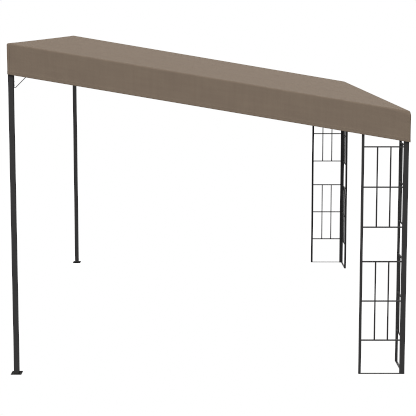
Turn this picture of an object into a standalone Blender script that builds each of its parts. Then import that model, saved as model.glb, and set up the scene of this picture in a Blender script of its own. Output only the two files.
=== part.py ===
"""Lean-to wall gazebo: a slim steel frame with lattice corner legs under a fitted canopy.

The frame of reference: +X runs along the wall, +Y points to the wall, +Z is up, and the
origin lies on the floor in the middle of the footprint.  All lengths are in metres.
"Left" and "right" are as seen from the garden side, looking towards the wall.
"""

import math

import bmesh
import bpy
from mathutils import Vector

# Canopy
CANOPY_LENGTH = 4.0        # along the wall, over the hanging edges
CANOPY_DEPTH = 3.0         # from the wall side to the front, over the hanging edges
WALL_HEIGHT = 2.525        # top of the canopy along the wall
FRONT_HEIGHT = 2.018       # top of the canopy along the front
VALANCE_DROP = 0.232       # from the canopy's top down to the hem of the hanging edge
CLOTH = 0.002              # thickness that stands for the cloth with its seams

# Posts
REAR_POST = 0.038          # square tube at the wall side
CORNER_POST = 0.035        # square tube at the front corners
SIDE_SET_BACK = 0.020      # from the canopy's ends in to the posts
FRONT_SET_BACK = 0.0085    # from the canopy's front face in to the corner posts
POST_HEADROOM = 0.004      # from the posts' tops up to the cloth
TUBE_CORNER = 0.002        # rounding along the edges of the tubes
CORNER_STEPS = 2           # facets in that rounding

# Base plates of the rear posts
BASE_PLATE = 0.080
BASE_PLATE_THICKNESS = 0.005
ANCHOR_HOLE = 0.009        # diameter
ANCHOR_SPACING = 0.058     # centre to centre, both ways
HOLE_SIDES = 16

# Roof frame
BEAM_WIDTH = 0.030
BEAM_HEIGHT = 0.040
RAFTER_WIDTH = 0.030
RAFTER_HEIGHT = 0.030
MIDDLE_RAFTERS = ("left", "right")

# Lattice panels of the corner legs
SIDE_LATTICE_WIDTH = 0.352     # over the corner post and the far upright
FRONT_LATTICE_WIDTH = 0.328    # the same, along the front
UPRIGHT = 0.018                # square tube at the free edge of each panel
BAR = 0.0095                   # square bars
FLOOR_STRIP = 0.003            # thickness of the flat strip at the floor, as wide as the upright
WINDOW_PITCH = 0.265           # height of an open field, bar to bar
CELL_PITCH = 0.305             # height of a field with upright bars, bar to bar
CELLS_IN_GROUP = 2             # barred fields between two open ones
BARS_ACROSS = 2                # upright bars side by side in a barred field

# Knee braces, bent from flat strip
BRACE_WIDTH = 0.020
BRACE_THICKNESS = 0.004
BRACE_RISE = 0.245             # height and run of the length at 45 degrees
BRACE_LEG = 0.115              # length of its leg up the post
BRACE_STAND_OFF = 0.016        # short level run before it turns up
BRACE_HEAD = 0.050             # length of its end along the rafter

GAP = 0.0003                   # between pieces that touch

# Places that follow from these sizes
SLOPE = (WALL_HEIGHT - FRONT_HEIGHT) / CANOPY_DEPTH
END_X = CANOPY_LENGTH / 2
PLATE_OVERHANG = max(0.0, (BASE_PLATE - REAR_POST) / 2 - CLOTH - GAP)
WALL_Y = (CANOPY_DEPTH - PLATE_OVERHANG) / 2
FRONT_Y = WALL_Y - CANOPY_DEPTH
POST_OUTER_X = END_X - SIDE_SET_BACK
REAR_POST_OUTER_Y = WALL_Y - CLOTH - GAP
REAR_POST_INNER_Y = REAR_POST_OUTER_Y - REAR_POST
REAR_POST_CENTRE_Y = REAR_POST_OUTER_Y - REAR_POST / 2
REAR_POST_CENTRE_X = POST_OUTER_X - REAR_POST / 2
CORNER_POST_OUTER_Y = FRONT_Y + FRONT_SET_BACK
CORNER_POST_INNER_Y = CORNER_POST_OUTER_Y + CORNER_POST
CORNER_POST_CENTRE_Y = CORNER_POST_OUTER_Y + CORNER_POST / 2
CORNER_POST_CENTRE_X = POST_OUTER_X - CORNER_POST / 2
RAFTER_DROP = RAFTER_HEIGHT * math.hypot(1.0, SLOPE)   # its height, measured upright

SIDES = {"left": -1.0, "right": 1.0}

STEEL_COLOUR = (0.030, 0.030, 0.031, 1.0)
CLOTH_COLOUR = (0.190, 0.145, 0.108, 1.0)


def canopy_top_height(y):
    """Height of the canopy's upper side at a distance y along the slope's run."""
    return FRONT_HEIGHT + (y - FRONT_Y) * SLOPE


def under_cloth(y):
    """Height of a piece that carries the cloth."""
    return canopy_top_height(y) - CLOTH - GAP


def under_rafter(y):
    """Height of a piece that stands or is fixed under a rafter."""
    return under_cloth(y) - RAFTER_DROP - GAP


def clear_scene():
    for scene_object in list(bpy.data.objects):
        bpy.data.objects.remove(scene_object, do_unlink=True)


def plain_material(name, colour, roughness, metallic):
    material = bpy.data.materials.new(name)
    material.use_nodes = True
    shader = material.node_tree.nodes["Principled BSDF"]
    shader.inputs["Base Color"].default_value = colour
    shader.inputs["Roughness"].default_value = roughness
    shader.inputs["Metallic"].default_value = metallic
    return material


def rectangle(low_u, high_u, low_v, high_v):
    return [(low_u, low_v), (high_u, low_v), (high_u, high_v), (low_u, high_v)]


def square(centre_u, centre_v, side):
    half = side / 2
    return rectangle(centre_u - half, centre_u + half, centre_v - half, centre_v + half)


# For each run axis, how (outline u, outline v, run) becomes (x, y, z).
AXIS_ORDER = {
    "X": lambda u, v, run: (run, u, v),
    "Y": lambda u, v, run: (u, run, v),
    "Z": lambda u, v, run: (u, v, run),
}


def extrude_outline(shape, outline, axis, low, high, corner=0.0):
    """Add one prism to the bmesh, its long edges rounded by corner."""
    place = AXIS_ORDER[axis]
    ends = [[shape.verts.new(place(u, v, run)) for u, v in outline] for run in (low, high)]
    count = len(outline)
    faces = [shape.faces.new(ends[0]), shape.faces.new(ends[1][::-1])]
    for index in range(count):
        following = (index + 1) % count
        faces.append(shape.faces.new((ends[0][index], ends[1][index],
                                      ends[1][following], ends[0][following])))
    if corner > 0.0:
        long_edges = [shape.edges.get((ends[0][index], ends[1][index])) for index in range(count)]
        bmesh.ops.bevel(shape, geom=long_edges, offset=corner, segments=CORNER_STEPS,
                        profile=0.5, affect="EDGES")


def finish_mesh(name, shape):
    bmesh.ops.recalc_face_normals(shape, faces=shape.faces)
    mesh = bpy.data.meshes.new(name)
    shape.to_mesh(mesh)
    shape.free()
    return mesh


def add_object(name, mesh, material):
    part = bpy.data.objects.new(name, mesh)
    bpy.context.scene.collection.objects.link(part)
    mesh.materials.clear()
    mesh.materials.append(material)
    return part


def prism(name, outline, axis, low, high, material, corner=0.0, lift=None):
    """One named prism; lift(x, y) raises its points, for a piece that follows the slope."""
    shape = bmesh.new()
    extrude_outline(shape, outline, axis, low, high, corner)
    if lift:
        for point in shape.verts:
            point.co.z += lift(point.co.x, point.co.y)
    return add_object(name, finish_mesh(name, shape), material)


def prisms_in_one(name, prisms):
    """Several separate prisms in one mesh, as an operand for a union or a cut."""
    shape = bmesh.new()
    for outline, axis, low, high in prisms:
        extrude_outline(shape, outline, axis, low, high)
    mesh = finish_mesh(name, shape)
    operand = bpy.data.objects.new(name, mesh)
    bpy.context.scene.collection.objects.link(operand)
    return operand


def combine(base, operand, operation):
    """Apply one exact Boolean to the base object and remove the operand."""
    modifier = base.modifiers.new(operation.lower(), "BOOLEAN")
    modifier.operation = operation
    modifier.solver = "EXACT"
    modifier.object = operand
    graph = bpy.context.evaluated_depsgraph_get()
    result = bpy.data.meshes.new_from_object(base.evaluated_get(graph))
    base.modifiers.remove(modifier)
    base.data = result
    result.name = base.name
    bpy.data.objects.remove(operand, do_unlink=True)


def rear_posts(steel):
    top = under_cloth(REAR_POST_INNER_Y) - POST_HEADROOM
    for side, sign in SIDES.items():
        outline = square(sign * REAR_POST_CENTRE_X, REAR_POST_CENTRE_Y, REAR_POST)
        prism(f"rear_post_{side}", outline, "Z", BASE_PLATE_THICKNESS + GAP, top, steel, TUBE_CORNER)


def base_plates(steel):
    """Square plates with four anchor holes, one under each rear post."""
    half_spacing = ANCHOR_SPACING / 2
    for side, sign in SIDES.items():
        centre_x = sign * REAR_POST_CENTRE_X
        outline = square(centre_x, REAR_POST_CENTRE_Y, BASE_PLATE)
        plate = prism(f"rear_base_plate_{side}", outline, "Z", 0.0, BASE_PLATE_THICKNESS, steel)
        holes = []
        for step_x in (-half_spacing, half_spacing):
            for step_y in (-half_spacing, half_spacing):
                circle = []
                for index in range(HOLE_SIDES):
                    angle = math.tau * (index + 0.5) / HOLE_SIDES
                    circle.append((centre_x + step_x + ANCHOR_HOLE / 2 * math.cos(angle),
                                   REAR_POST_CENTRE_Y + step_y + ANCHOR_HOLE / 2 * math.sin(angle)))
                holes.append((circle, "Z", -BASE_PLATE_THICKNESS, 2 * BASE_PLATE_THICKNESS))
        combine(plate, prisms_in_one("anchor_holes", holes), "DIFFERENCE")


def corner_posts(steel):
    top = under_cloth(CORNER_POST_OUTER_Y) - POST_HEADROOM
    for side, sign in SIDES.items():
        outline = square(sign * CORNER_POST_CENTRE_X, CORNER_POST_CENTRE_Y, CORNER_POST)
        prism(f"corner_post_{side}", outline, "Z", 0.0, top, steel, TUBE_CORNER)


def beam_outline(centre_y):
    """Section of a level beam whose lower upper edge just carries the sloping cloth."""
    low_y = centre_y - BEAM_WIDTH / 2
    top = under_cloth(low_y)
    return rectangle(low_y, centre_y + BEAM_WIDTH / 2, top - BEAM_HEIGHT, top)


def beams(steel):
    wall_end = REAR_POST_CENTRE_X - REAR_POST / 2 - GAP
    front_end = CORNER_POST_CENTRE_X - CORNER_POST / 2 - GAP
    prism("wall_beam", beam_outline(REAR_POST_CENTRE_Y), "X", -wall_end, wall_end, steel, TUBE_CORNER)
    prism("front_beam", beam_outline(CORNER_POST_CENTRE_Y), "X", -front_end, front_end, steel,
          TUBE_CORNER)


def rafter(name, centre_x, low_y, high_y, steel):
    """A tube that lies under the cloth, its ends cut upright between two other pieces."""
    top = under_cloth(low_y)
    half = RAFTER_WIDTH / 2
    outline = rectangle(centre_x - half, centre_x + half, top - RAFTER_DROP, top)
    prism(name, outline, "Y", low_y, high_y, steel, TUBE_CORNER,
          lift=lambda x, y: (y - low_y) * SLOPE)


def rafters(steel):
    for side, sign in SIDES.items():
        rafter(f"side_rafter_{side}", sign * CORNER_POST_CENTRE_X,
               CORNER_POST_INNER_Y + GAP, REAR_POST_INNER_Y - GAP, steel)
    bay = 2 * CORNER_POST_CENTRE_X / (len(MIDDLE_RAFTERS) + 1)
    for number, side in enumerate(MIDDLE_RAFTERS, start=1):
        rafter(f"middle_rafter_{side}", -CORNER_POST_CENTRE_X + number * bay,
               CORNER_POST_CENTRE_Y + BEAM_WIDTH / 2 + GAP,
               REAR_POST_CENTRE_Y - BEAM_WIDTH / 2 - GAP, steel)


def bar_rows(limit):
    """Centre heights of the level bars below a limit, and the span of each barred group."""
    rows = []
    groups = []
    height = 0.0
    while True:
        height += WINDOW_PITCH
        group = [height + index * CELL_PITCH for index in range(CELLS_IN_GROUP + 1)]
        if group[-1] + BAR > limit:
            return rows, groups
        rows.extend(group)
        groups.append((group[0], group[-1]))
        height = group[-1]


def lattice(name, run_axis, post_face, free_face, bar_low, bar_high, outer_low, outer_high,
            upright_top, bars, steel):
    """One welded panel beside a corner post.

    The panel runs along run_axis from post_face, the face of the corner post, to free_face,
    the far face of its upright.  Across the panel, the upright and the floor strip lie between
    outer_low and outer_high, and the thinner bars between bar_low and bar_high.
    """
    step = math.copysign(1.0, free_face - post_face)
    upright_near = free_face - step * UPRIGHT
    upright_centre = free_face - step * UPRIGHT / 2
    across_axis = "X" if run_axis == "Y" else "Y"

    def section(run_a, run_b, across_a, across_b):
        """Plan outline (x, y) of a piece that stands upright."""
        runs = sorted((run_a, run_b))
        across = sorted((across_a, across_b))
        if across_axis == "X":
            return rectangle(*across, *runs)
        return rectangle(*runs, *across)

    top = min(upright_top(free_face), upright_top(upright_near))
    upright = prism(name, section(upright_near, free_face, outer_low, outer_high), "Z", 0.0, top, steel)
    if run_axis == "Y":
        for point in upright.data.vertices:
            if point.co.z > top / 2:
                point.co.z = upright_top(point.co.y)

    rows, groups = bars
    level_plan = section(post_face + step * GAP, upright_centre, bar_low, bar_high)
    floor_plan = section(post_face + step * GAP, upright_centre, outer_low, outer_high)
    level_bars = [(floor_plan, "Z", 0.0, FLOOR_STRIP)]
    level_bars += [(level_plan, "Z", height - BAR / 2, height + BAR / 2) for height in rows]
    pitch = (upright_near - post_face) / (BARS_ACROSS + 1)
    upright_bars = []
    for low, high in groups:
        for number in range(1, BARS_ACROSS + 1):
            centre = post_face + number * pitch
            plan = section(centre - BAR / 2, centre + BAR / 2, bar_low, bar_high)
            upright_bars.append((plan, "Z", low, high))
    combine(upright, prisms_in_one("level_bars", level_bars), "UNION")
    combine(upright, prisms_in_one("upright_bars", upright_bars), "UNION")


def lattices(steel):
    beam_bottom = under_cloth(CORNER_POST_CENTRE_Y - BEAM_WIDTH / 2) - BEAM_HEIGHT - GAP
    bars = bar_rows(min(beam_bottom, under_rafter(CORNER_POST_INNER_Y)))
    for side, sign in SIDES.items():
        outer_x = sign * POST_OUTER_X
        lattice(f"side_lattice_{side}", "Y",
                CORNER_POST_INNER_Y, CORNER_POST_OUTER_Y + SIDE_LATTICE_WIDTH,
                outer_x, outer_x - sign * BAR,
                outer_x, outer_x - sign * UPRIGHT,
                under_rafter, bars, steel)
        inner_y = CORNER_POST_OUTER_Y + UPRIGHT
        lattice(f"front_lattice_{side}", "X",
                sign * (POST_OUTER_X - CORNER_POST), sign * (POST_OUTER_X - FRONT_LATTICE_WIDTH),
                inner_y - BAR, inner_y,
                CORNER_POST_OUTER_Y, inner_y,
                lambda run: beam_bottom, bars, steel)


def strip_outline(centre_line, thickness):
    """Closed outline of a bent strip, from its centre line, with mitred bends."""
    points = [Vector(point) for point in centre_line]
    offsets = []
    for index, point in enumerate(points):
        before = (point - points[index - 1]).normalized() if index > 0 else None
        after = (points[index + 1] - point).normalized() if index + 1 < len(points) else None
        run = before or after
        other = after or before
        normal = Vector((-run.y, run.x))
        other_normal = Vector((-other.y, other.x))
        mitre = (normal + other_normal).normalized()
        offsets.append(mitre * thickness / 2 / mitre.dot(normal))
    left = [(point + offset)[:] for point, offset in zip(points, offsets)]
    right = [(point - offset)[:] for point, offset in zip(points, offsets)]
    return left + right[::-1]


def knee_braces(steel):
    """A strip down the post's inner face, out, up at 45 degrees and along the rafter."""
    leg_y = REAR_POST_INNER_Y - GAP - BRACE_THICKNESS / 2
    turn_y = REAR_POST_INNER_Y - BRACE_STAND_OFF
    head_y = turn_y - BRACE_RISE
    end_y = head_y - BRACE_HEAD
    head_drop = BRACE_THICKNESS / 2 * math.hypot(1.0, SLOPE)
    head_height = under_rafter(head_y) - head_drop
    foot_height = head_height - BRACE_RISE
    centre_line = [
        (leg_y, foot_height + BRACE_LEG),
        (leg_y, foot_height),
        (turn_y, foot_height),
        (head_y, head_height),
        (end_y, under_rafter(end_y) - head_drop),
    ]
    outline = strip_outline(centre_line, BRACE_THICKNESS)
    for side, sign in SIDES.items():
        centre_x = sign * CORNER_POST_CENTRE_X
        prism(f"knee_brace_{side}", outline, "X",
              centre_x - BRACE_WIDTH / 2, centre_x + BRACE_WIDTH / 2, steel)


def canopy(cloth):
    """The fitted cover: a sloping top and a hanging valance on each of its four sides."""
    top_section = [
        (FRONT_Y, canopy_top_height(FRONT_Y) - CLOTH), (WALL_Y, canopy_top_height(WALL_Y) - CLOTH),
        (WALL_Y, canopy_top_height(WALL_Y)), (FRONT_Y, canopy_top_height(FRONT_Y)),
    ]
    prism("canopy_top", top_section, "X", -END_X, END_X, cloth)
    for name, outer_y, inner_y in (("valance_front", FRONT_Y, FRONT_Y + CLOTH),
                                   ("valance_wall", WALL_Y, WALL_Y - CLOTH)):
        low_y, high_y = sorted((outer_y, inner_y))
        hem = canopy_top_height(outer_y) - VALANCE_DROP
        outline = rectangle(low_y, high_y, hem, under_cloth(low_y))
        prism(name, outline, "X", -END_X, END_X, cloth)
    low_y = FRONT_Y + CLOTH + GAP
    high_y = WALL_Y - CLOTH - GAP
    side_section = [
        (low_y, canopy_top_height(low_y) - VALANCE_DROP), (high_y, canopy_top_height(high_y) - VALANCE_DROP),
        (high_y, under_cloth(high_y)), (low_y, under_cloth(low_y)),
    ]
    for side, sign in SIDES.items():
        low_x, high_x = sorted((sign * END_X, sign * (END_X - CLOTH)))
        prism(f"valance_{side}", side_section, "X", low_x, high_x, cloth)


def build():
    clear_scene()
    steel = plain_material("powder_coated_steel", STEEL_COLOUR, 0.45, 0.0)
    cloth = plain_material("canopy_cloth", CLOTH_COLOUR, 0.85, 0.0)
    rear_posts(steel)
    base_plates(steel)
    corner_posts(steel)
    beams(steel)
    rafters(steel)
    lattices(steel)
    knee_braces(steel)
    canopy(cloth)


build()
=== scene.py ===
"""Lean-to wall gazebo: a slim matt black steel frame with lattice legs under a fitted taupe cover.

All lengths are in metres.  +X runs along the wall, +Y points to the wall and +Z is up.
"""

import math

import bmesh
import bpy
import numpy as np
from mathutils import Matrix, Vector


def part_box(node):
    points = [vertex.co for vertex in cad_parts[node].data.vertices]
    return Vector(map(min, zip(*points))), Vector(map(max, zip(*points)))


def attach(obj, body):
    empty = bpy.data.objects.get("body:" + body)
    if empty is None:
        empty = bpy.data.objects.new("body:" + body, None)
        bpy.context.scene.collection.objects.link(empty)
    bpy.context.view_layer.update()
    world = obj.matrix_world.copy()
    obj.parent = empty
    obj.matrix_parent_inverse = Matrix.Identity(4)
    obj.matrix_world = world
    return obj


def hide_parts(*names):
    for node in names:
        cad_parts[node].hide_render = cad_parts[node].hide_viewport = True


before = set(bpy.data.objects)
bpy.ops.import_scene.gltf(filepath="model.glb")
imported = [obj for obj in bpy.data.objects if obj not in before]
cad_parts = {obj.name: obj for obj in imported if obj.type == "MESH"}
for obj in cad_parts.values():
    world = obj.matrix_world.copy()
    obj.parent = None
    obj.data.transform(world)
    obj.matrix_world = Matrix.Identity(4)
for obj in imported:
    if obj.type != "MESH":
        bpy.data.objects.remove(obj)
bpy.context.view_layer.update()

SIDES = {"left": -1.0, "right": 1.0}

# ---------------------------------------------------------------- camera, studio and lights

CAMERA_PLACE = (-10.217, 0.001, 2.693)
CAMERA_TILT = math.radians(6.571)      # downwards
CAMERA_TURN = math.radians(0.012)      # towards the wall
CAMERA_LENS = 95.96                    # mm
CAMERA_FRAME = 36.0                    # mm wide
CAMERA_RISE = -0.145                   # lens shift, so that the posts stay nearly parallel


def place_camera():
    """An eye-level camera far off the left end, looking along the wall."""
    lens = bpy.data.cameras.new("camera")
    lens.lens = CAMERA_LENS
    lens.sensor_width = CAMERA_FRAME
    lens.shift_y = CAMERA_RISE
    lens.clip_end = 200.0
    camera = bpy.data.objects.new("camera", lens)
    bpy.context.scene.collection.objects.link(camera)
    ahead = Vector((math.cos(CAMERA_TILT) * math.cos(CAMERA_TURN),
                    math.cos(CAMERA_TILT) * math.sin(CAMERA_TURN),
                    -math.sin(CAMERA_TILT)))
    camera.location = CAMERA_PLACE
    camera.rotation_euler = ahead.to_track_quat("-Z", "Y").to_euler()
    bpy.context.scene.camera = camera


# name: direction from the gazebo to the light, strength, width of the light in degrees, colour
LIGHTS = {
    "key_over_left_end": ((-0.75, 0.25, 0.61), 2.85, 50, "#FFFCF8"),
    "key_over_right_end": ((0.75, -0.25, 0.61), 2.00, 50, "#FFFDFA"),
    "overhead_softbox": ((0.0, 0.0, 1.0), 0.40, 70, "#FFF9F2"),
}
AMBIENT = 0.42


def to_linear(code):
    """Linear RGBA of an sRGB hex colour."""
    parts = [int(code[index:index + 2], 16) / 255 for index in (1, 3, 5)]
    return [part / 12.92 if part <= 0.04045 else ((part + 0.055) / 1.055) ** 2.4
            for part in parts] + [1.0]


def light_studio():
    """Two broad keys, a weak overhead light and an even white surround."""
    for name, (direction, strength, width, colour) in LIGHTS.items():
        lamp = bpy.data.lights.new(name, "SUN")
        lamp.energy = strength
        lamp.angle = math.radians(width)
        lamp.color = to_linear(colour)[:3]
        light = bpy.data.objects.new(name, lamp)
        bpy.context.scene.collection.objects.link(light)
        light.rotation_euler = Vector(direction).to_track_quat("Z", "Y").to_euler()
    world = bpy.data.worlds.new("soft_white_room")
    world.use_nodes = True
    room = world.node_tree.nodes["Background"]
    room.inputs["Color"].default_value = to_linear("#FFFFFF")
    room.inputs["Strength"].default_value = AMBIENT
    bpy.context.scene.world = world
    bpy.context.scene.view_settings.view_transform = "Standard"
    bpy.context.scene.view_settings.look = "None"
    bpy.context.scene.cycles.pixel_filter_type = "BOX"      # crisp edges on the slim bars


# ---------------------------------------------------------------- materials


def add_node(tree, kind, inputs=None, **settings):
    """One node with its settings; an input is either a value or another node's output to link."""
    made = tree.nodes.new(kind)
    for name, value in settings.items():
        setattr(made, name, value)
    for key, value in (inputs or {}).items():
        if isinstance(value, bpy.types.NodeSocket):
            tree.links.new(value, made.inputs[key])
        else:
            made.inputs[key].default_value = value
    return made


def new_material(name):
    """An empty material: its tree, and the surface shader that everything leads to."""
    material = bpy.data.materials.new(name)
    material.use_nodes = True
    return material, material.node_tree, material.node_tree.nodes["Principled BSDF"]


def per_metre(millimetres):
    """Texture scale for a feature of this real size, in coordinates of metres."""
    return 1000.0 / millimetres


# Places of the Mix node's colour sockets, which share their names with its other sockets.
MIX_AMOUNT, MIX_FIRST, MIX_SECOND = 0, 6, 7
MIX_RESULT = 2


def powder_coated_steel(name, low_tone, high_tone, shine):
    """Mild steel under a baked matt polyester powder coat.

    The eye gets an even near-black with hardly any gloss, a faint orange peel in raking light,
    and slightly paler arrises where the powder pulls back while it melts.
    shine is the specular level, which falls with the matting agent in the powder.
    """
    material, tree, shader = new_material(name)
    place = add_node(tree, "ShaderNodeTexCoord").outputs["Object"]
    cloud = add_node(tree, "ShaderNodeTexNoise", {"Vector": place, "Scale": per_metre(240),
                                                  "Detail": 3.0, "Roughness": 0.6})
    speckle = add_node(tree, "ShaderNodeTexNoise", {"Vector": place, "Scale": per_metre(1.8),
                                                    "Detail": 1.0})
    tone = add_node(tree, "ShaderNodeMix", {MIX_AMOUNT: cloud.outputs["Fac"],
                                            MIX_FIRST: to_linear(low_tone),
                                            MIX_SECOND: to_linear(high_tone)}, data_type="RGBA")
    # Rounded against true normal: under 1 only along an arris, about 1.5 mm wide.
    rounded = add_node(tree, "ShaderNodeBevel", {"Radius": 0.0015}, samples=4)
    true_normal = add_node(tree, "ShaderNodeNewGeometry").outputs["Normal"]
    agree = add_node(tree, "ShaderNodeVectorMath", {0: rounded.outputs[0], 1: true_normal},
                     operation="DOT_PRODUCT")
    arris = add_node(tree, "ShaderNodeMapRange", {"Value": agree.outputs["Value"], "From Min": 0.985,
                                                  "From Max": 0.80, "To Min": 0.0, "To Max": 0.8})
    coat = add_node(tree, "ShaderNodeMix", {MIX_AMOUNT: arris.outputs["Result"],
                                            MIX_FIRST: tone.outputs[MIX_RESULT],
                                            MIX_SECOND: to_linear("#454544")}, data_type="RGBA")
    tree.links.new(coat.outputs[MIX_RESULT], shader.inputs["Base Color"])
    dull = add_node(tree, "ShaderNodeMapRange", {"Value": speckle.outputs["Fac"], "To Min": 0.50,
                                                 "To Max": 0.66})
    tree.links.new(dull.outputs["Result"], shader.inputs["Roughness"])
    peel = add_node(tree, "ShaderNodeTexNoise", {"Vector": place, "Scale": per_metre(3.5),
                                                 "Detail": 2.0})
    skin = add_node(tree, "ShaderNodeBump", {"Height": peel.outputs["Fac"], "Strength": 0.4,
                                             "Distance": 0.0003})
    tree.links.new(skin.outputs["Normal"], shader.inputs["Normal"])
    shader.inputs["IOR"].default_value = 1.5
    shader.inputs["Specular IOR Level"].default_value = shine
    return material


def weld_under_powder():
    """MIG weld beads, sprayed together with the tubes: the same coat over a coarser, lumpy skin."""
    material, tree, shader = new_material("weld_under_powder")
    place = add_node(tree, "ShaderNodeTexCoord").outputs["Object"]
    lumps = add_node(tree, "ShaderNodeTexNoise", {"Vector": place, "Scale": per_metre(2.2),
                                                  "Detail": 3.0})
    tone = add_node(tree, "ShaderNodeMix", {MIX_AMOUNT: lumps.outputs["Fac"],
                                            MIX_FIRST: to_linear("#252526"),
                                            MIX_SECOND: to_linear("#323232")}, data_type="RGBA")
    tree.links.new(tone.outputs[MIX_RESULT], shader.inputs["Base Color"])
    shader.inputs["Roughness"].default_value = 0.55
    shader.inputs["Specular IOR Level"].default_value = 0.25
    skin = add_node(tree, "ShaderNodeBump", {"Height": lumps.outputs["Fac"], "Strength": 0.5,
                                             "Distance": 0.0004})
    tree.links.new(skin.outputs["Normal"], shader.inputs["Normal"])
    return material


def black_zinc_screws():
    """Cold-headed steel screws, zinc plated and passivated black.

    A dark metal with a soft shine and small grey clouds where the plating is thinner.
    """
    material, tree, shader = new_material("black_zinc_screws")
    place = add_node(tree, "ShaderNodeTexCoord").outputs["Object"]
    cloud = add_node(tree, "ShaderNodeTexNoise", {"Vector": place, "Scale": per_metre(6.0),
                                                  "Detail": 4.0, "Roughness": 0.65})
    tone = add_node(tree, "ShaderNodeMix", {MIX_AMOUNT: cloud.outputs["Fac"],
                                            MIX_FIRST: to_linear("#3A3B3D"),
                                            MIX_SECOND: to_linear("#5E5F62")}, data_type="RGBA")
    tree.links.new(tone.outputs[MIX_RESULT], shader.inputs["Base Color"])
    worn = add_node(tree, "ShaderNodeMapRange", {"Value": cloud.outputs["Fac"], "To Min": 0.38,
                                                 "To Max": 0.55})
    tree.links.new(worn.outputs["Result"], shader.inputs["Roughness"])
    shader.inputs["Metallic"].default_value = 0.85
    return material


# The real threads lie 0.6 mm apart and their slubs are a few centimetres long, too fine for any
# view of the whole gazebo.  Both are drawn coarser, and the slubs show as the cloth's faint
# streaks.
THREAD_SPACING_MM = 18.85
SLUB_LENGTH_MM = 420
SLUB_WIDTH_MM = 30
WAVE_LENGTH = math.tau / 20             # of the wave texture, at a scale of 1


def woven_polyester(name, low_tone, high_tone):
    """Solution-dyed polyester cloth, plain woven and coated on its under side.

    The eye gets a dull taupe with no shine, faint streaks along both thread directions and
    soft puckers.
    """
    material, tree, shader = new_material(name)
    lay = add_node(tree, "ShaderNodeUVMap", uv_map="cloth_lay").outputs["UV"]
    slim = SLUB_LENGTH_MM / SLUB_WIDTH_MM
    streaks = []
    for spread in ((1.0, slim, 1.0), (slim, 1.0, 1.0)):
        along = add_node(tree, "ShaderNodeMapping", {"Vector": lay, "Scale": spread})
        slubs = add_node(tree, "ShaderNodeTexNoise", {"Vector": along.outputs["Vector"],
                                                      "Scale": per_metre(SLUB_LENGTH_MM),
                                                      "Detail": 5.0, "Roughness": 0.62},
                         noise_dimensions="2D")
        streaks.append(slubs.outputs["Fac"])
    crossing = add_node(tree, "ShaderNodeMath", {0: streaks[0], 1: streaks[1]}, operation="ADD")
    mottled = add_node(tree, "ShaderNodeTexNoise", {"Vector": lay, "Scale": per_metre(160),
                                                    "Detail": 4.0}, noise_dimensions="2D")
    amount = add_node(tree, "ShaderNodeMath", {0: crossing.outputs[0], 1: mottled.outputs["Fac"]},
                      operation="ADD")
    spread_tone = add_node(tree, "ShaderNodeMapRange", {"Value": amount.outputs[0], "From Min": 1.1,
                                                        "From Max": 1.9})
    tone = add_node(tree, "ShaderNodeMix", {MIX_AMOUNT: spread_tone.outputs["Result"],
                                            MIX_FIRST: to_linear(low_tone),
                                            MIX_SECOND: to_linear(high_tone)}, data_type="RGBA")
    tree.links.new(tone.outputs[MIX_RESULT], shader.inputs["Base Color"])

    threads = []
    for direction in ("X", "Y"):
        ribs = add_node(tree, "ShaderNodeTexWave",
                        {"Vector": lay, "Scale": per_metre(THREAD_SPACING_MM) * WAVE_LENGTH,
                         "Distortion": 0.6, "Detail": 1.0},
                        wave_type="BANDS", bands_direction=direction, wave_profile="SIN")
        threads.append(ribs.outputs["Fac"])
    weave = add_node(tree, "ShaderNodeMath", {0: threads[0], 1: threads[1]}, operation="MAXIMUM")
    woven = add_node(tree, "ShaderNodeBump", {"Height": weave.outputs[0], "Strength": 0.35,
                                              "Distance": 0.0004})
    pucker = add_node(tree, "ShaderNodeTexNoise", {"Vector": lay, "Scale": per_metre(90),
                                                   "Detail": 3.0}, noise_dimensions="2D")
    soft = add_node(tree, "ShaderNodeBump", {"Height": pucker.outputs["Fac"], "Strength": 0.12,
                                             "Distance": 0.004, "Normal": woven.outputs["Normal"]})
    tree.links.new(soft.outputs["Normal"], shader.inputs["Normal"])
    shader.inputs["Roughness"].default_value = 0.88
    shader.inputs["IOR"].default_value = 1.46
    shader.inputs["Specular IOR Level"].default_value = 0.05
    return material


def bonded_thread():
    """Twisted bonded polyester sewing thread: a shade darker than the cloth, slightly waxy."""
    material, tree, shader = new_material("bonded_thread")
    place = add_node(tree, "ShaderNodeTexCoord").outputs["Object"]
    twist = add_node(tree, "ShaderNodeTexNoise", {"Vector": place, "Scale": per_metre(1.5)})
    tone = add_node(tree, "ShaderNodeMix", {MIX_AMOUNT: twist.outputs["Fac"],
                                            MIX_FIRST: to_linear("#4A4139"),
                                            MIX_SECOND: to_linear("#6A5E53")}, data_type="RGBA")
    tree.links.new(tone.outputs[MIX_RESULT], shader.inputs["Base Color"])
    shader.inputs["Roughness"].default_value = 0.6
    return material


def lit_white_acrylic():
    """Opal white acrylic lit evenly from behind, for the studio's floor and surround.

    The eye gets one plain white with no shading, exactly as bright as paper.
    """
    material, _, shader = new_material("lit_white_acrylic")
    shader.inputs["Base Color"].default_value = to_linear("#000000")
    shader.inputs["Roughness"].default_value = 0.9
    shader.inputs["Specular IOR Level"].default_value = 0.0
    shader.inputs["Emission Color"].default_value = to_linear("#FFFFFF")
    shader.inputs["Emission Strength"].default_value = 1.0
    return material


# ---------------------------------------------------------------- making pieces


def add_piece(name, shape, material, smooth=False):
    """A finished piece from a bmesh; it rides on the gazebo's one body."""
    bmesh.ops.recalc_face_normals(shape, faces=shape.faces)
    for face in shape.faces:
        face.smooth = smooth
    mesh = bpy.data.meshes.new(name)
    shape.to_mesh(mesh)
    shape.free()
    mesh.materials.append(material)
    piece = bpy.data.objects.new(name, mesh)
    bpy.context.scene.collection.objects.link(piece)
    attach(piece, "root")
    return piece


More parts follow.
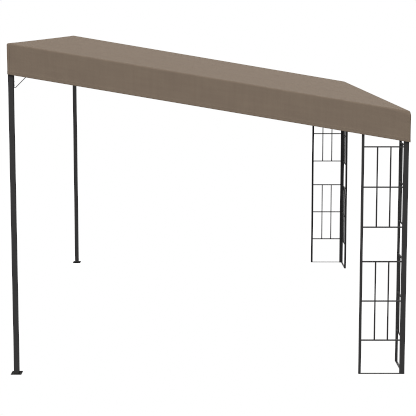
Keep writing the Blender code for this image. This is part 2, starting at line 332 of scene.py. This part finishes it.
def turned(shape, place, axis, profile, sides):
    """A closed lathe shape: profile is (radius, height) from its foot at place along axis."""
    stand = Vector(axis).to_track_quat("Z", "Y").to_matrix().to_4x4()
    stand.translation = place
    rings = []
    for radius, height in profile:
        if radius == 0.0:
            rings.append([shape.verts.new(stand @ Vector((0.0, 0.0, height)))])
            continue
        ring = []
        for index in range(sides):
            angle = math.tau * (index + 0.5) / sides
            ring.append(shape.verts.new(stand @ Vector((radius * math.cos(angle),
                                                        radius * math.sin(angle), height))))
        rings.append(ring)
    shape.faces.new(rings[0][::-1])
    for low, high in zip(rings, rings[1:]):
        for index in range(sides):
            following = (index + 1) % sides
            if len(high) == 1:
                shape.faces.new((low[index], low[following], high[0]))
            else:
                shape.faces.new((low[index], low[following], high[following], high[index]))
    if len(rings[-1]) > 1:
        shape.faces.new(rings[-1])


PUDDLE_SWELL = 0.14                     # of a weld bead's radius, from puddle to puddle
BEAD_TIP = 0.45                         # share of the radius left at a bead's ends


def bead(shape, path, radius, closed=False, sides=6):
    """A weld bead along a path, swelling and shrinking like overlapped puddles."""
    rings = []
    count = len(path)
    for index, point in enumerate(path):
        before = path[index - 1] if closed or index else point
        after = path[(index + 1) % count] if closed or index + 1 < count else point
        run = (Vector(after) - Vector(before)).normalized()
        stand = run.to_track_quat("Z", "Y").to_matrix()
        swell = radius * (1.0 + PUDDLE_SWELL * math.cos(math.pi * index))
        if not closed and index in (0, count - 1):
            swell *= BEAD_TIP
        ring = []
        for step in range(sides):
            angle = math.tau * step / sides
            offset = stand @ Vector((swell * math.cos(angle), swell * math.sin(angle), 0.0))
            ring.append(shape.verts.new(Vector(point) + offset))
        rings.append(ring)
    pairs = list(zip(rings, rings[1:]))
    if closed:
        pairs.append((rings[-1], rings[0]))
    else:
        shape.faces.new(rings[0][::-1])
        shape.faces.new(rings[-1])
    for low, high in pairs:
        for step in range(sides):
            following = (step + 1) % sides
            shape.faces.new((low[step], low[following], high[following], high[step]))


def straight(start, end, steps):
    """Points evenly along a line."""
    return [Vector(start).lerp(Vector(end), step / steps) for step in range(steps + 1)]


# ---------------------------------------------------------------- the cover

top_low, top_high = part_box("canopy_top")
hem_low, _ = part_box("valance_front")
CLOTH_CAD = 0.002                       # the CAD's allowance for cloth and seams
LOW_X, HIGH_X = top_low.x, top_high.x
FRONT_Y, WALL_Y = top_low.y, top_high.y
WALL_HEIGHT = top_high.z
FRONT_HEIGHT = top_low.z + CLOTH_CAD
SLOPE = (WALL_HEIGHT - FRONT_HEIGHT) / (WALL_Y - FRONT_Y)
DROP = FRONT_HEIGHT - hem_low.z
ALONG_SLOPE = math.hypot(1.0, SLOPE)

CLOTH = 0.0014                          # cloth with its coating
TURN_OVER = 0.014                       # run of the curve where the top turns into a valance
TURN_DROP = {"wall": 0.016, "front": 0.042, "end": 0.012}     # and its fall on each side
CORNER_EASE = 0.18                      # the end's tight crease softens this far from the front

EDGE_DIP = 0.0045                       # the wall edge hangs below its ends, over the level beam
EDGE_DIP_REACH = 0.018                  # the dip dies away over this distance from the edge
SAG = 0.009                             # between two rafters, at the middle
PULL_HEIGHT = 0.0011                    # of the fine pull lines that fan out from each corner
PULL_REACH = 0.35                       # they die away over this distance from it
PULL_WAVES = 17.0                       # radians of their wave to a radian round the corner
PULL_INSET = 0.03                       # they start this far in from the edges
PULL_EASE = 0.12                        # and are whole this much further in

RIPPLE = 0.0026                         # outward wave of the hanging edge, at its hem
RIPPLE_PHASE = {"right": 1.3, "left": 4.1, "wall": 2.6, "front": 5.5}
# share of the wave, radians to a metre of run, and factor of its side's phase
RIPPLE_WAVES = ((1.0, 7.3, 1.0), (0.6, 13.1, 2.1), (0.35, 23.9, 3.7))
RIPPLE_GROWTH = 1.6                     # power of the depth by which it grows
RIPPLE_INSET = 0.04                     # still this far from a corner
RIPPLE_EASE = 0.25                      # and whole this much further on

LAYER_EDGE = 0.002                      # width of the step over the edge of a layer beneath
SEAM_IN = 0.022                         # corner seams, in from the end of each side valance
SEAM_STEP = 0.0010                      # their folded allowance stands this proud
SEAM_GROOVE = 1.2                       # depth of the sewn groove beside it, as a share of that
SEAM_GROOVE_WIDTH = 0.0014
SEAM_TOP, SEAM_TOP_EASE = 0.010, 0.012  # depth where the fold starts, and run until it is whole
SEAM_END, SEAM_END_EASE = 0.006, 0.010  # the same, outwards from the corner

HEM = 0.024                             # depth of the sewn hem
HEM_STEP = 0.0008                       # its three layers stand this proud
HEM_STITCH = 0.0205                     # stitching above the hem's edge
HEM_GROOVE = 0.0006                     # the stitching draws the cloth in this far
HEM_GROOVE_WIDTH = 0.0012
FOLD = 0.0005                           # the turned-in layer, pressed flat by its stitching
FOLD_GAP = 0.0003                       # between the two layers
TINY = 1e-9                             # keeps a length from being divided by zero


def eased(amount):
    """Smooth step from 0 to 1."""
    amount = np.clip(amount, 0.0, 1.0)
    return amount * amount * (3.0 - 2.0 * amount)


def groove(distance, width):
    """Rounded groove, 1 at its middle."""
    return np.exp(-(distance / width) ** 2)


def rafter_bays():
    """(from, to) along X of the unsupported cloth between neighbouring rafters."""
    names = ("side_rafter_left", "middle_rafter_left", "middle_rafter_right", "side_rafter_right")
    boxes = [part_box(name) for name in names]
    return [(before[1].x, after[0].x) for before, after in zip(boxes, boxes[1:])]


BAYS = rafter_bays()
SAG_FROM_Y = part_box("front_beam")[1].y
SAG_TO_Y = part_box("wall_beam")[0].y


def top_relief(x, y):
    """How far the top stands above its plane: the sag of each bay and the pull at the corners."""
    half_way = np.clip((x - LOW_X) / (HIGH_X - LOW_X), 0.0, 1.0)
    relief = -EDGE_DIP * np.sqrt(4.0 * half_way * (1.0 - half_way))
    relief *= np.exp(-(WALL_Y - y) / EDGE_DIP_REACH)
    across = np.clip((y - SAG_FROM_Y) / (SAG_TO_Y - SAG_FROM_Y), 0.0, 1.0)
    taut = np.sqrt(np.clip(4.0 * across * (1.0 - across), 0.0, 1.0))
    for low, high in BAYS:
        within = np.clip((x - low) / (high - low), 0.0, 1.0)
        relief -= SAG * 4.0 * within * (1.0 - within) * taut
    inside = eased((np.minimum(x - LOW_X, HIGH_X - x) - PULL_INSET) / PULL_EASE)
    inside *= eased((np.minimum(y - FRONT_Y, WALL_Y - y) - PULL_INSET) / PULL_EASE)
    corners = ((LOW_X, FRONT_Y), (LOW_X, WALL_Y), (HIGH_X, FRONT_Y), (HIGH_X, WALL_Y))
    for number, (corner_x, corner_y) in enumerate(corners):
        away = np.hypot(x - corner_x, y - corner_y)
        bearing = np.arctan2(np.abs(y - corner_y), np.abs(x - corner_x))
        lines = np.cos(PULL_WAVES * bearing + number)
        relief += PULL_HEIGHT * lines * np.exp(-away / PULL_REACH) * inside
    return relief


def ripple(run, from_ends, drop, phase):
    """Outward wave of a valance, 0 to 1, growing to the hem and still at the corners."""
    wave = sum(share * np.sin(rate * run + shift * phase) for share, rate, shift in RIPPLE_WAVES)
    wave /= sum(share for share, _, _ in RIPPLE_WAVES)
    grown = np.clip(drop / DROP, 0.0, 1.0) ** RIPPLE_GROWTH
    return (0.5 + 0.5 * wave) * grown * eased((from_ends - RIPPLE_INSET) / RIPPLE_EASE)


def seam_relief(from_ends, drop):
    """The allowance of a corner seam, folded on to the side valance: a low step, sewn down."""
    hanging = eased((drop - SEAM_TOP) / SEAM_TOP_EASE)
    folded = eased((from_ends - SEAM_END) / SEAM_END_EASE)
    folded *= 1.0 - eased((from_ends - SEAM_IN) / LAYER_EDGE + 0.5)
    folded -= SEAM_GROOVE * groove(from_ends - SEAM_IN, SEAM_GROOVE_WIDTH)
    return SEAM_STEP * hanging * folded


def hem_relief(drop):
    """The hem is three layers thick, drawn in along its stitching."""
    from_edge = DROP - drop
    layers = (1.0 - eased((from_edge - HEM) / LAYER_EDGE)) * eased(from_edge / LAYER_EDGE)
    return HEM_STEP * layers - HEM_GROOVE * groove(from_edge - HEM_STITCH, HEM_GROOVE_WIDTH)


def turned_lid(x, y, drop):
    """Places on a level lid whose edges turn over in a curve, and the outward direction there."""
    keep_x = np.clip(x, LOW_X + TURN_OVER, HIGH_X - TURN_OVER)
    keep_y = np.clip(y, FRONT_Y + TURN_OVER, WALL_Y - TURN_OVER)
    out = np.stack([x - keep_x, y - keep_y, np.maximum(TURN_OVER - drop, 0.0)], axis=-1)
    out /= np.maximum(np.linalg.norm(out, axis=-1, keepdims=True), TINY)
    share = out[..., 0] ** 2 / np.maximum(out[..., 0] ** 2 + out[..., 1] ** 2, TINY)
    near_front = eased(1.0 - (y - FRONT_Y) / CORNER_EASE)
    end_fall = TURN_DROP["end"] + (TURN_DROP["front"] - TURN_DROP["end"]) * near_front
    fall = share * end_fall
    fall += (1.0 - share) * np.where(y > 0, TURN_DROP["wall"], TURN_DROP["front"])
    depth = fall * (1.0 - out[..., 2])
    depth += np.maximum(drop - TURN_OVER, 0.0) * (DROP - fall) / (DROP - TURN_OVER)
    points = np.stack([keep_x + TURN_OVER * out[..., 0], keep_y + TURN_OVER * out[..., 1], -depth],
                      axis=-1)
    return points, out


def cover_points(x, y, drop):
    """Outer side of the cover, and its outward direction, over a plain box lid.

    x, y and drop are the places on that lid: drop is the depth below the top, 0 on the top.
    """
    x, y, drop = (np.asarray(values, float) for values in (x, y, drop))
    points, out = turned_lid(x, y, drop)
    on_end = np.abs(out[..., 0]) > np.abs(out[..., 1])
    run = np.where(on_end, y, x)
    from_ends = np.where(on_end, np.minimum(y - FRONT_Y, WALL_Y - y),
                         np.minimum(x - LOW_X, HIGH_X - x))
    phase = np.where(on_end, np.where(x > 0, RIPPLE_PHASE["right"], RIPPLE_PHASE["left"]),
                     np.where(y > 0, RIPPLE_PHASE["wall"], RIPPLE_PHASE["front"]))
    push = RIPPLE * ripple(run, from_ends, drop, phase)
    push += np.where(on_end, seam_relief(from_ends, drop), 0.0)
    push += hem_relief(drop)
    points[..., :2] += out[..., :2] * push[..., None]

    on_top = eased(1.0 - drop / TURN_OVER)
    points[..., 2] += FRONT_HEIGHT + (points[..., 1] - FRONT_Y) * SLOPE
    points[..., 2] += top_relief(points[..., 0], points[..., 1]) * on_top
    return points, out


# Grid lines lie close together where the cloth turns over, folds and is sewn: EDGE_STEPS are
# distances in from an edge of the top, and DROP_STEPS are depths down a valance.
CLOTH_GRID = 0.040                      # between the other grid lines
TURN_STEPS = [0.0025, 0.005, 0.008, 0.011, TURN_OVER]
EDGE_STEPS = [0.0] + TURN_STEPS + [0.018, SEAM_IN - SEAM_GROOVE_WIDTH, SEAM_IN,
                                   SEAM_IN + SEAM_GROOVE_WIDTH, 0.026, 0.032, 0.045, 0.065]
DROP_STEPS = TURN_STEPS + [0.019, 0.026] + list(np.linspace(0.040, 0.195, 11)) + [
    DROP - rise for rise in (0.0265, HEM, 0.0222, HEM_STITCH, 0.0188, 0.0165, 0.0090, 0.0020, 0.0)]


def graded(low, high):
    """Places from low to high, close together at both ends where the cloth turns over."""
    start = [low + step for step in EDGE_STEPS]
    end = [high - step for step in reversed(EDGE_STEPS)]
    count = max(1, round((end[0] - start[-1]) / CLOTH_GRID))
    return start + list(np.linspace(start[-1], end[0], count + 1)[1:-1]) + end


def cloth_grid():
    """The grid lines of the top along X and Y, and the (column, row) of each place on its rim."""
    xs = graded(LOW_X, HIGH_X)
    ys = graded(FRONT_Y, WALL_Y)
    last_i, last_j = len(xs) - 1, len(ys) - 1
    rim = ([(i, 0) for i in range(last_i)] + [(last_i, j) for j in range(last_j)]
           + [(i, last_j) for i in range(last_i, 0, -1)] + [(0, j) for j in range(last_j, 0, -1)])
    return xs, ys, rim


def cut_cover():
    """The whole cover as one sheet: a grid for the top that runs on down all four valances."""
    xs, ys, rim = cloth_grid()
    wide, deep, around = len(xs), len(ys), len(rim)
    grid_x, grid_y = np.meshgrid(xs, ys, indexing="ij")
    places = [np.stack([grid_x.ravel(), grid_y.ravel(), np.zeros(grid_x.size)], axis=1)]
    for drop in DROP_STEPS:
        places.append(np.array([(xs[i], ys[j], drop) for i, j in rim]))
    places = np.concatenate(places)
    points, _ = cover_points(places[:, 0], places[:, 1], places[:, 2])

    shape = bmesh.new()
    verts = [shape.verts.new(point) for point in points]
    lay = shape.loops.layers.uv.new("cloth_lay")

    def add_face(corners, side):
        """A face laid out as cut: in metres over the top, and on down the valance of its side."""
        face = shape.faces.new([verts[index] for index in corners])
        for loop, index in zip(face.loops, corners):
            x, y, drop = places[index]
            u, v = x, y * ALONG_SLOPE
            if side in ("left", "right"):
                u += math.copysign(drop, x)
            elif side in ("front", "wall"):
                v += math.copysign(drop, y)
            loop[lay].uv = (u, v)

    for i in range(wide - 1):
        for j in range(deep - 1):
            base = i * deep + j
            add_face((base, base + deep, base + deep + 1, base + 1), "top")
    upper = [i * deep + j for i, j in rim]
    for row in range(len(DROP_STEPS)):
        lower = [wide * deep + row * around + number for number in range(around)]
        for number, (i, j) in enumerate(rim):
            following = (number + 1) % around
            if i == rim[following][0]:
                side = "left" if i == 0 else "right"
            else:
                side = "front" if j == 0 else "wall"
            add_face((upper[number], lower[number], lower[following], upper[following]), side)
        upper = lower
    return shape


def fold_hem():
    """The turned-in inner layer of the hem, a flat band inside the foot of the valances."""
    xs, ys, rim = cloth_grid()
    x = np.array([xs[i] for i, _ in rim])
    y = np.array([ys[j] for _, j in rim])
    outer, inner = [], []
    for depth in DROP_STEPS:
        if DROP - HEM <= depth < DROP:
            points, out = cover_points(x, y, np.full(len(rim), depth))
            outer.append(points - out * (CLOTH + FOLD_GAP))
            inner.append(points - out * (CLOTH + FOLD_GAP + FOLD))
    shape = bmesh.new()
    verts = [[shape.verts.new(point) for point in row] for row in outer + inner[::-1]]
    for index, row in enumerate(verts):
        beside = verts[(index + 1) % len(verts)]
        for number in range(len(rim)):
            following = (number + 1) % len(rim)
            shape.faces.new((row[number], row[following], beside[following], beside[number]))
    lay = shape.loops.layers.uv.new("cloth_lay")
    for face in shape.faces:
        for loop in face.loops:
            loop[lay].uv = (loop.vert.co.x + loop.vert.co.y, loop.vert.co.z)
    return shape


STITCH_LENGTH = 0.0052
STITCH_PITCH = 0.0075
STITCH_WIDTH = 0.0013
STITCH_HEIGHT = 0.0006                  # of its middle over its ends
STITCH_LIFT = 0.0003                    # of its ends over the cloth
SEAM_STITCH = 0.0025                    # corner stitching, in from the folded allowance's edge
SEAM_STITCH_TOP = 0.006                 # it starts this far under the turn-over
SEAM_STITCH_FOOT = 0.004                # and ends this far over the hem


def round_the_lid(drop, spacing, start=0.0):
    """Evenly spaced (x, y, drop) places round the lid at one depth."""
    wide, deep = HIGH_X - LOW_X, WALL_Y - FRONT_Y
    around = 2.0 * (wide + deep)
    count = int(around / spacing)
    run = (np.arange(count) * around / count + start) % around
    corners = np.cumsum([0.0, wide, deep, wide, deep])
    x = np.interp(run, corners, [LOW_X, HIGH_X, HIGH_X, LOW_X, LOW_X])
    y = np.interp(run, corners, [FRONT_Y, FRONT_Y, WALL_Y, WALL_Y, FRONT_Y])
    return x, y, np.full(count, drop)


def sew(shape, from_places, to_places):
    """Lock stitches: each a slim diamond of thread lying on the cloth from place to place."""
    starts, outward = cover_points(*from_places)
    ends, _ = cover_points(*to_places)
    for start, end, out in zip(starts, ends, outward):
        out = Vector(out)
        start = Vector(start) + out * STITCH_LIFT
        end = Vector(end) + out * STITCH_LIFT
        side = (end - start).cross(out).normalized() * STITCH_WIDTH / 2
        middle = (start + end) / 2
        tips = [shape.verts.new(start), shape.verts.new(end)]
        waist = [shape.verts.new(middle + offset)
                 for offset in (side, out * STITCH_HEIGHT, -side, -out * STITCH_LIFT)]
        for index in range(4):
            following = (index + 1) % 4
            shape.faces.new((tips[0], waist[index], waist[following]))
            shape.faces.new((tips[1], waist[following], waist[index]))


def stitch_seams():
    """Stitching along the hem and down the seams beside the four corners."""
    shape = bmesh.new()
    depth = DROP - HEM_STITCH
    sew(shape, round_the_lid(depth, STITCH_PITCH),
        round_the_lid(depth, STITCH_PITCH, STITCH_LENGTH))
    drops = np.arange(TURN_OVER + SEAM_STITCH_TOP, DROP - HEM - SEAM_STITCH_FOOT, STITCH_PITCH)
    for x in (LOW_X, HIGH_X):
        for y in (FRONT_Y + SEAM_IN - SEAM_STITCH, WALL_Y - SEAM_IN + SEAM_STITCH):
            across = np.full(len(drops), x), np.full(len(drops), y)
            sew(shape, (*across, drops), (*across, drops + STITCH_LENGTH))
    return shape


def make_cover():
    """The cover, its hem's inner layer and its stitching, in place of the five CAD plates."""
    cloth = woven_polyester("woven_polyester", "#6E6257", "#73675B")
    hem_cloth = woven_polyester("woven_polyester_hem", "#675C52", "#6C6156")
    cover = add_piece("canopy_cover", cut_cover(), cloth, smooth=True)
    thick = cover.modifiers.new("cloth", "SOLIDIFY")
    thick.thickness = CLOTH
    thick.offset = -1.0
    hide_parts("canopy_top", "valance_front", "valance_wall", "valance_left", "valance_right")
    hem = add_piece("canopy_hem_fold", fold_hem(), hem_cloth)
    thread = add_piece("canopy_stitching", stitch_seams(), bonded_thread())


# ---------------------------------------------------------------- fixings

# Turned profiles: (radius, height) from the face that each is fixed to.  The pan head has a recess.
WASHER = [(0.0062, 0.0), (0.0062, 0.0009), (0.0058, 0.0012)]
HEX_HEAD = [(0.0052, 0.0012), (0.0052, 0.0030), (0.0045, 0.0036)]
PAN_HEAD = [(0.0050, 0.0), (0.0050, 0.0010), (0.0043, 0.0024), (0.0029, 0.0030), (0.0018, 0.0031),
            (0.0017, 0.0016), (0.0, 0.0014)]
BOLT_HEIGHTS = (0.28, 0.72)             # of the two bolts at a beam's end, as shares of its height

BRACE_THICKNESS = 0.004
LEG_SCREWS = (0.018, 0.046, 0.098)      # up a brace's leg from its lower end
HEAD_SCREW = 0.022                      # along a brace's head from its free end
GAP = 0.0003                            # between a brace and the rafter over it


def hex_bolt(shape, place, axis):
    """A hexagon head on its washer."""
    turned(shape, place, axis, WASHER, sides=20)
    turned(shape, place, axis, HEX_HEAD, sides=6)


def fasten_frame(screw_finish):
    """Hex bolts through the posts into the beams, and through the beams into the rafters."""
    bolts = bmesh.new()
    wall_low, wall_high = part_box("wall_beam")
    front_low, front_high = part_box("front_beam")
    for side, sign in SIDES.items():
        for post, beam_low, beam_high in ((f"rear_post_{side}", wall_low, wall_high),
                                          (f"corner_post_{side}", front_low, front_high)):
            low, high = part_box(post)
            outer = low.x if sign < 0 else high.x
            for height in BOLT_HEIGHTS:
                z = beam_low.z + height * (beam_high.z - beam_low.z)
                hex_bolt(bolts, (outer, (low.y + high.y) / 2, z), (sign, 0, 0))
        rafter_low, rafter_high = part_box(f"middle_rafter_{side}")
        middle = (rafter_low.x + rafter_high.x) / 2
        hex_bolt(bolts, (middle, wall_high.y, (wall_low.z + wall_high.z) / 2), (0, 1, 0))
        hex_bolt(bolts, (middle, front_low.y, (front_low.z + front_high.z) / 2), (0, -1, 0))
    add_piece("frame_bolts", bolts, screw_finish)


def fasten_braces(screw_finish):
    """Pan-head screws: three through each brace's leg into the post, one up into the rafter."""
    screws = bmesh.new()
    for side in SIDES:
        low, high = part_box(f"knee_brace_{side}")
        middle = (low.x + high.x) / 2
        for height in LEG_SCREWS:
            place = (middle, high.y - BRACE_THICKNESS, low.z + height)
            turned(screws, place, (0, -1, 0), PAN_HEAD, sides=18)
        rafter_low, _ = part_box(f"side_rafter_{side}")
        y = low.y + HEAD_SCREW
        rafter_under = rafter_low.z + (y - rafter_low.y) * SLOPE
        place = (middle, y, rafter_under - GAP - BRACE_THICKNESS * ALONG_SLOPE)
        turned(screws, place, (0, SLOPE, -1), PAN_HEAD, sides=18)
    add_piece("brace_screws", screws, screw_finish)


# ---------------------------------------------------------------- welds

FOOT_BEAD = 0.0024                      # radius of the fillet round a rear post
FOOT_BEAD_RISE = 0.0008                 # its centre over the plate
FOOT_PUDDLES = 14                       # along each face of the post
BAR_END_BEAD = 0.0009                   # radius, where a level bar ends
CROSSING_BEAD = 0.0008                  # and where an upright bar meets it
BEAD_POINTS = 4                         # steps along a bar's bead
POST_CLEARANCE = 0.0004                 # bead's centre off the corner post's face

# The lattices' sizes, as in the CAD
UPRIGHT = 0.018                         # square tube at the free edge
BAR = 0.0095                            # square bars
BARS_ACROSS = 2                         # upright bars side by side
WINDOW_PITCH = 0.265                    # height of an open field, bar to bar
CELL_PITCH = 0.305                      # height of a field with upright bars
CELLS_IN_GROUP = 2                      # barred fields between two open ones
GROUP_FEET = (0.0, WINDOW_PITCH + CELLS_IN_GROUP * CELL_PITCH)
LEVEL_BARS = [[foot + WINDOW_PITCH + cell * CELL_PITCH for cell in range(CELLS_IN_GROUP + 1)]
              for foot in GROUP_FEET]   # heights of the bars, group by group


def weld_posts(finish):
    """A fillet of weld round the foot of each rear post."""
    welds = bmesh.new()
    for side in SIDES:
        low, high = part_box(f"rear_post_{side}")
        _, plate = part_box(f"rear_base_plate_{side}")
        z = plate.z + FOOT_BEAD_RISE
        corners = [(low.x, low.y, z), (high.x, low.y, z), (high.x, high.y, z), (low.x, high.y, z)]
        path = []
        for start, end in zip(corners, corners[1:] + corners[:1]):
            path += straight(start, end, FOOT_PUDDLES)[:-1]
        bead(welds, path, FOOT_BEAD, closed=True, sides=8)
    add_piece("post_foot_welds", welds, finish, smooth=True)


def weld_panel(name, run_axis, post_face, free_face, depth, finish):
    """Beads of one lattice panel, which runs along run_axis from post_face to free_face.

    depth is the bars' two faces across the panel: every bead goes from one to the other.
    """
    welds = bmesh.new()

    def lay_bead(run, height, radius):
        """A bead across the bars, at a place along the panel and a height."""
        ends = [(run, across, height) if run_axis == "X" else (across, run, height)
                for across in depth]
        bead(welds, straight(*ends, BEAD_POINTS), radius)

    step = math.copysign(1.0, free_face - post_face)
    upright_face = free_face - step * UPRIGHT
    pitch = (upright_face - post_face) / (BARS_ACROSS + 1)
    for group in LEVEL_BARS:
        for height in group:
            for run in (post_face + step * POST_CLEARANCE, upright_face):
                for edge in (-BAR / 2, BAR / 2):
                    lay_bead(run, height + edge, BAR_END_BEAD)
            edges = [-BAR / 2] if height > group[0] else []
            edges += [BAR / 2] if height < group[-1] else []
            for number in range(1, BARS_ACROSS + 1):
                for edge in edges:
                    for flank in (-BAR / 2, BAR / 2):
                        lay_bead(post_face + number * pitch + flank, height + edge, CROSSING_BEAD)
    add_piece(name, welds, finish, smooth=True)


def weld_lattices(finish):
    """Short beads where every lattice bar meets an upright, a post or another bar."""
    for side, sign in SIDES.items():
        post_low, post_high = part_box(f"corner_post_{side}")
        low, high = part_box(f"side_lattice_{side}")
        outer = low.x if sign < 0 else high.x
        weld_panel(f"side_lattice_welds_{side}", "Y", post_high.y, high.y,
                   (outer, outer - sign * BAR), finish)
        low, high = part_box(f"front_lattice_{side}")
        post_face, free_face = (post_high.x, high.x) if sign < 0 else (post_low.x, low.x)
        weld_panel(f"front_lattice_welds_{side}", "X", post_face, free_face,
                   (high.y - BAR, high.y), finish)


# ---------------------------------------------------------------- floor and backdrop

FLOOR_RADIUS = 60.0
DOME_RADIUS = 70.0


def lay_floor():
    """A wide white floor, and a white dome far round it; they show but cast nothing back."""
    white = lit_white_acrylic()
    floor_shape = bmesh.new()
    bmesh.ops.create_circle(floor_shape, cap_ends=True, segments=96, radius=FLOOR_RADIUS)
    dome_shape = bmesh.new()
    bmesh.ops.create_uvsphere(dome_shape, u_segments=48, v_segments=24, radius=DOME_RADIUS)
    for name, shape in (("studio_floor", floor_shape), ("studio_dome", dome_shape)):
        mesh = bpy.data.meshes.new(name)
        shape.to_mesh(mesh)
        shape.free()
        mesh.materials.append(white)
        ground = bpy.data.objects.new(name, mesh)
        bpy.context.scene.collection.objects.link(ground)
        ground.visible_diffuse = False
        ground.visible_glossy = False
        ground.visible_transmission = False
        ground.visible_shadow = False


# ---------------------------------------------------------------- build


def coat_steelwork():
    """The CAD's own tubes under their coat, and the plates under a blacker copy of it that paints in
    shade.
    """
    tubes = powder_coated_steel("powder_coated_steel", "#28282A", "#313131", 0.20)
    # Painted shade: the plates get a blacker, duller copy of the coat, for the canopy's shade on
    # them.
    plates = powder_coated_steel("powder_coated_plate_painted_shade", "#0C0C0D", "#161617", 0.08)
    for node_name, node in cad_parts.items():
        node.data.materials.clear()
        node.data.materials.append(plates if "base_plate" in node_name else tubes)


place_camera()
light_studio()
lay_floor()
coat_steelwork()
make_cover()
screw_finish = black_zinc_screws()
fasten_frame(screw_finish)
fasten_braces(screw_finish)
weld_finish = weld_under_powder()
weld_posts(weld_finish)
weld_lattices(weld_finish)
